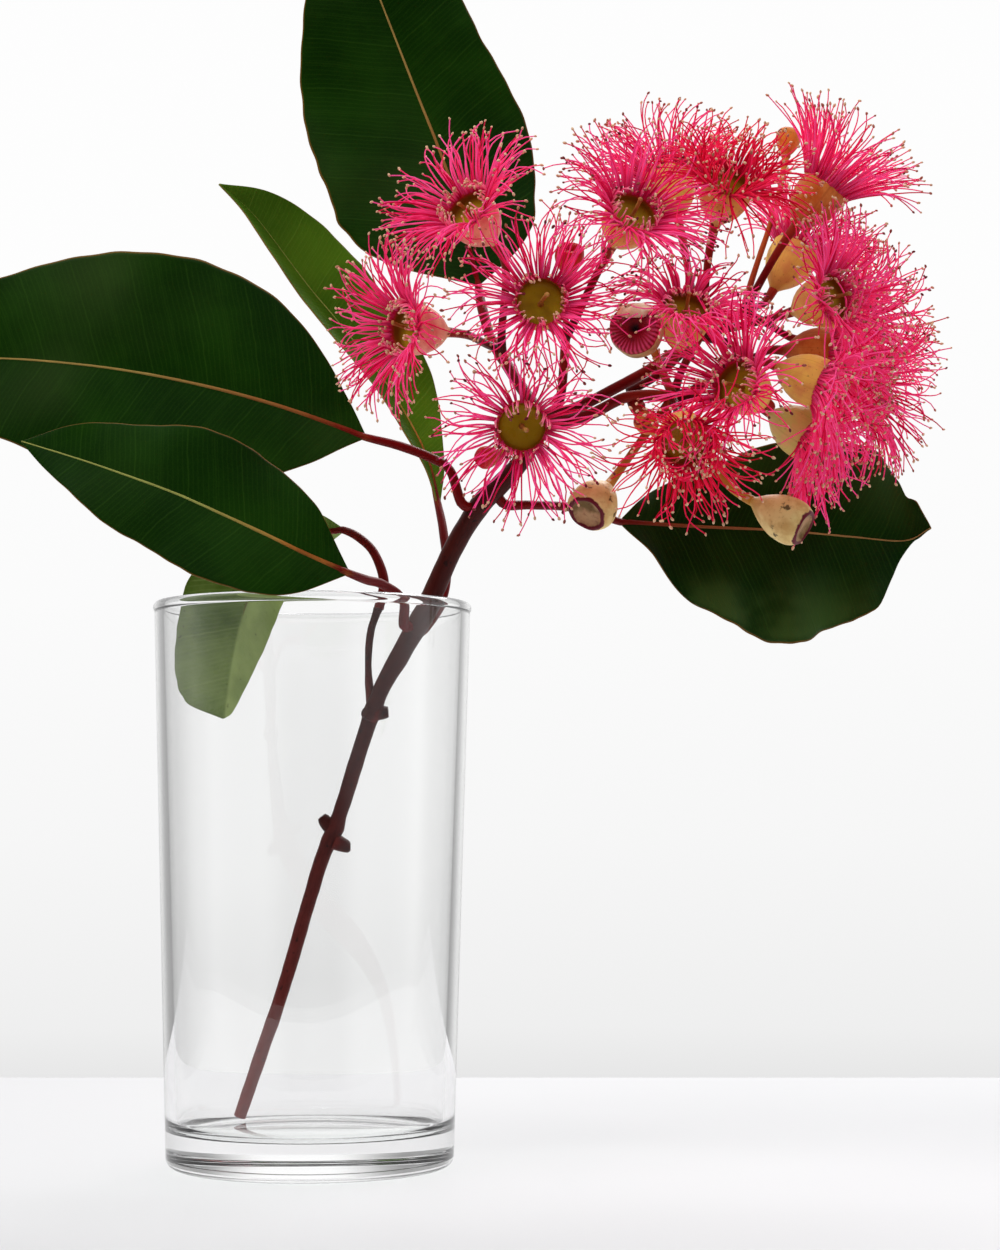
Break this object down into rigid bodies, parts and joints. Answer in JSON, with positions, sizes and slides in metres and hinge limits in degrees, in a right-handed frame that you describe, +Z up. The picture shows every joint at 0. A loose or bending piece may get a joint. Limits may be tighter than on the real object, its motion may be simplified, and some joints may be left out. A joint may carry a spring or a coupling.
{
  "type": "pink flowering gum branch in a glass tumbler",
  "caption": "Cut branch of pink flowering gum with leathery leaves, starburst blooms and buds, standing in a clear straight glass tumbler.",
  "frame": {"origin": "centre of the tumbler's flat underside, on the surface it stands on", "axes": "+Z up along the tumbler's axis, +X towards the side where the blooms lean, -Y towards the side that the blooms face"},
  "size_m": [0.235, 0.1067, 0.2879],
  "materials": {
    "clear_glass": "polished",
    "bark": "matte",
    "leaf": "satin",
    "young_leaf": "satin",
    "cup": "matte",
    "stamens": "matte",
    "opened_bud": "matte",
    "bud": "matte"
  },
  "bodies": {
    "root": {"glass": "clear_glass", "branch": "bark", "leaf_left": "leaf", "leaf_front": "leaf", "leaf_top": "leaf", "leaf_small": "young_leaf", "leaf_right": "leaf", "leaf_hanging": "leaf", "cup_a": "cup", "cup_b": "cup", "cup_c": "cup", "cup_d": "cup", "cup_e": "cup", "cup_f": "cup", "cup_g": "cup", "cup_h": "cup", "cup_i": "cup", "cup_j": "cup", "cup_k": "cup", "cup_l": "cup", "cup_m": "cup", "cup_n": "cup", "cup_p": "cup", "cup_q": "cup", "cup_r": "cup", "cup_t": "cup", "stamens_a": "stamens", "stamens_b": "stamens", "stamens_c": "stamens", "stamens_d": "stamens", "stamens_e": "stamens", "stamens_f": "stamens", "stamens_g": "stamens", "stamens_h": "stamens", "stamens_i": "stamens", "stamens_j": "stamens", "stamens_k": "stamens", "stamens_l": "stamens", "stamens_m": "stamens", "stamens_n": "stamens", "stamens_p": "stamens", "stamens_q": "stamens", "stamens_r": "stamens", "stamens_t": "stamens", "bud_front": "bud", "bud_right": "bud", "bud_open": "opened_bud", "bud_low": "bud", "bud_red": "opened_bud", "bud_left": "bud", "bud_top": "bud"}
  },
  "joints": []
}
